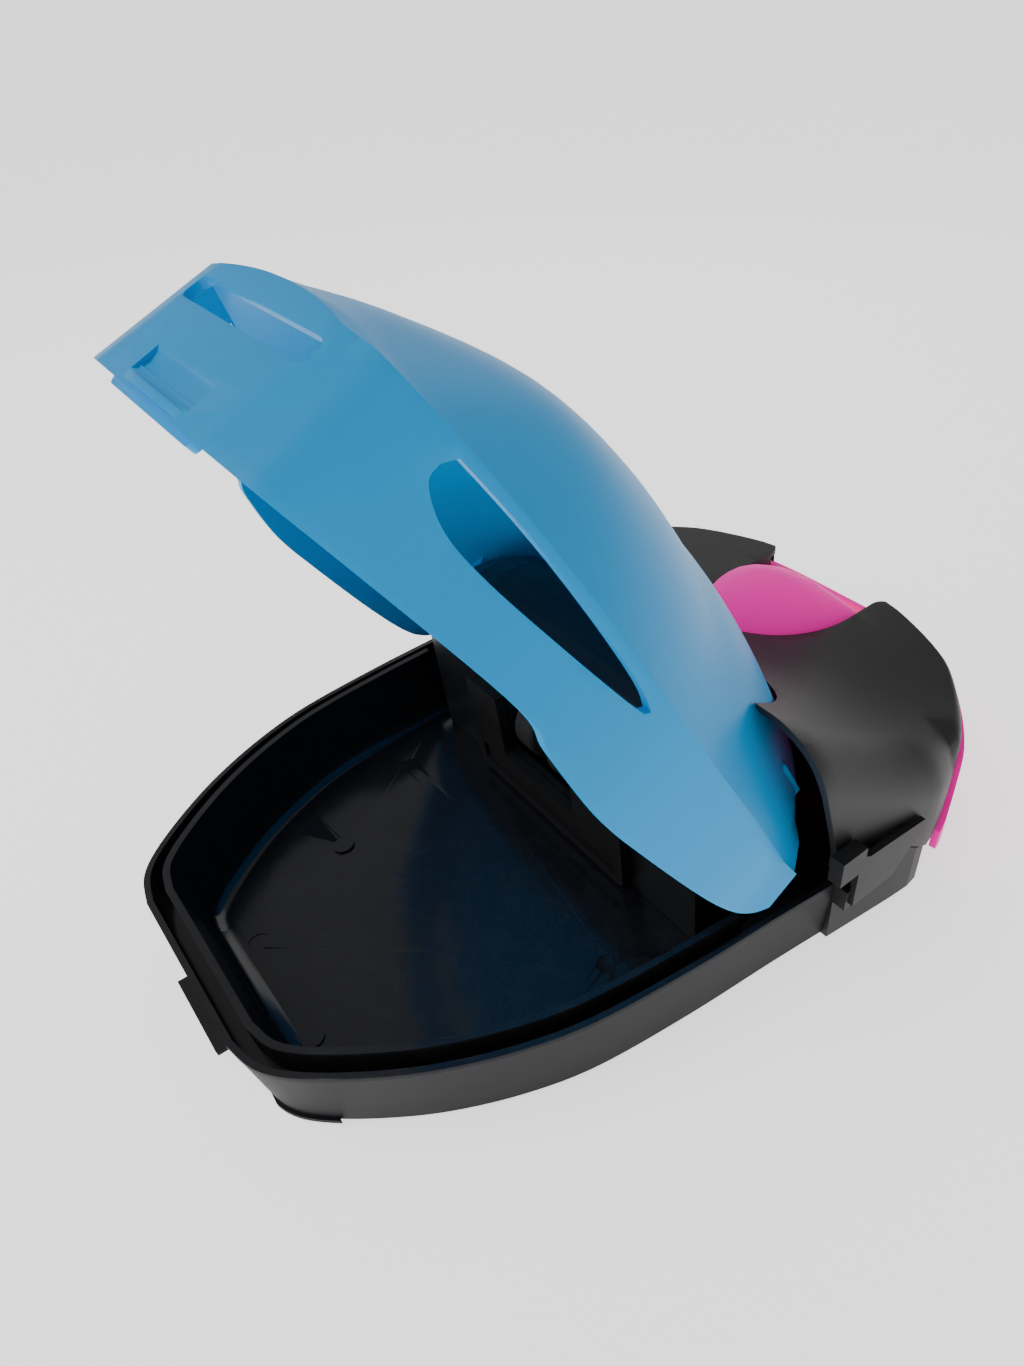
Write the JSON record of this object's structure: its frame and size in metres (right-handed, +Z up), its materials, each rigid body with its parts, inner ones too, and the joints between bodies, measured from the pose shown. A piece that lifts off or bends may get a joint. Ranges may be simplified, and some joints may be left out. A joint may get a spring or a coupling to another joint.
{
  "type": "automatic card shuffler",
  "caption": "Tabletop card shuffler: hinged hood with a card slot over a shield-shaped tray, roller feed and a press button at the rear.",
  "frame": {"origin": "middle of the bounding box at the level of the rubber feet", "axes": "+Z up, -Y towards the open front of the tray, +Y towards the button, X across, along the hood's hinge"},
  "size_m": [0.204, 0.262, 0.1778],
  "materials": {
    "sky_blue": "satin outside, glossier inside",
    "magenta": "matte",
    "gloss_black": "glossy floor",
    "charcoal": "matte with a fine texture",
    "dark_grey": "satin",
    "slate": "satin",
    "rubber": "matte",
    "steel": "bright",
    "brass": "turned",
    "nylon": "smooth",
    "board": "lacquered",
    "cell_wrap": "plain sleeve"
  },
  "bodies": {
    "casing": {"card_tray": "gloss_black", "rear_lower_housing": "dark_grey", "rear_top_shell": "charcoal", "hinge_cover": "slate", "roller_guard": "dark_grey", "mechanism_frame": "dark_grey", "hinge_pin_left": "steel", "hinge_pin_right": "steel", "motor": "steel", "idler_axle": "steel", "shaft_bush_left": "brass", "shaft_bush_right": "brass", "battery_holder": "gloss_black", "battery_cell_1": "cell_wrap", "battery_cell_2": "cell_wrap", "battery_cell_3": "cell_wrap", "contact_plate_left": "steel", "contact_plate_right": "steel", "battery_door": "dark_grey", "battery_door_screw": "steel", "control_board": "board", "micro_switch": "gloss_black", "button_spring_left": "steel", "button_spring_right": "steel", "housing_screw_1": "steel", "housing_screw_2": "steel", "housing_screw_3": "steel", "housing_screw_4": "steel", "foot_1": "rubber", "foot_2": "rubber", "foot_3": "rubber", "foot_4": "rubber"},
    "hood": {"hood": "sky_blue"},
    "button": {"push_button": "magenta"},
    "plunger": {"switch_plunger": "nylon"},
    "feed_roller": {"feed_shaft": "steel", "feed_hub_left": "nylon", "feed_hub_right": "nylon", "feed_tyre_left": "rubber", "feed_tyre_right": "rubber", "feed_gear": "nylon"},
    "idler": {"idler_gear": "nylon"},
    "pinion": {"motor_pinion": "brass"}
  },
  "joints": [
    {"name": "hood_hinge", "type": "hinge", "parent": "casing", "child": "hood", "pos_m": [0, 0.016, 0.0485], "axis": [1, 0, 0], "range_deg": [0, 58.3]},
    {"name": "button_press", "type": "slide", "parent": "casing", "child": "button", "axis": [0, 0, -1], "range_m": [0, 0.005], "stiffness_N_per_m": 400, "springref_m": -0.002, "deforming": ["button_spring_left", "button_spring_right"]},
    {"name": "switch_press", "type": "slide", "parent": "casing", "child": "plunger", "axis": [0, 0, -1], "range_m": [0, 0.0013]},
    {"name": "roller_spin", "type": "hinge", "parent": "casing", "child": "feed_roller", "pos_m": [0, 0.004, 0.034], "axis": [1, 0, 0], "continuous": true},
    {"name": "idler_spin", "type": "hinge", "parent": "casing", "child": "idler", "pos_m": [0, 0.01536, 0.034], "axis": [1, 0, 0], "continuous": true},
    {"name": "pinion_spin", "type": "hinge", "parent": "casing", "child": "pinion", "pos_m": [0, 0.03312, 0.034], "axis": [1, 0, 0], "continuous": true}
  ],
  "couplings": [
    {"joint": "idler_spin", "follows": "roller_spin", "ratio": -1.3333},
    {"joint": "pinion_spin", "follows": "roller_spin", "ratio": 4.5333},
    {"joint": "switch_press", "follows": "button_press", "ratio": 0.24}
  ]
}
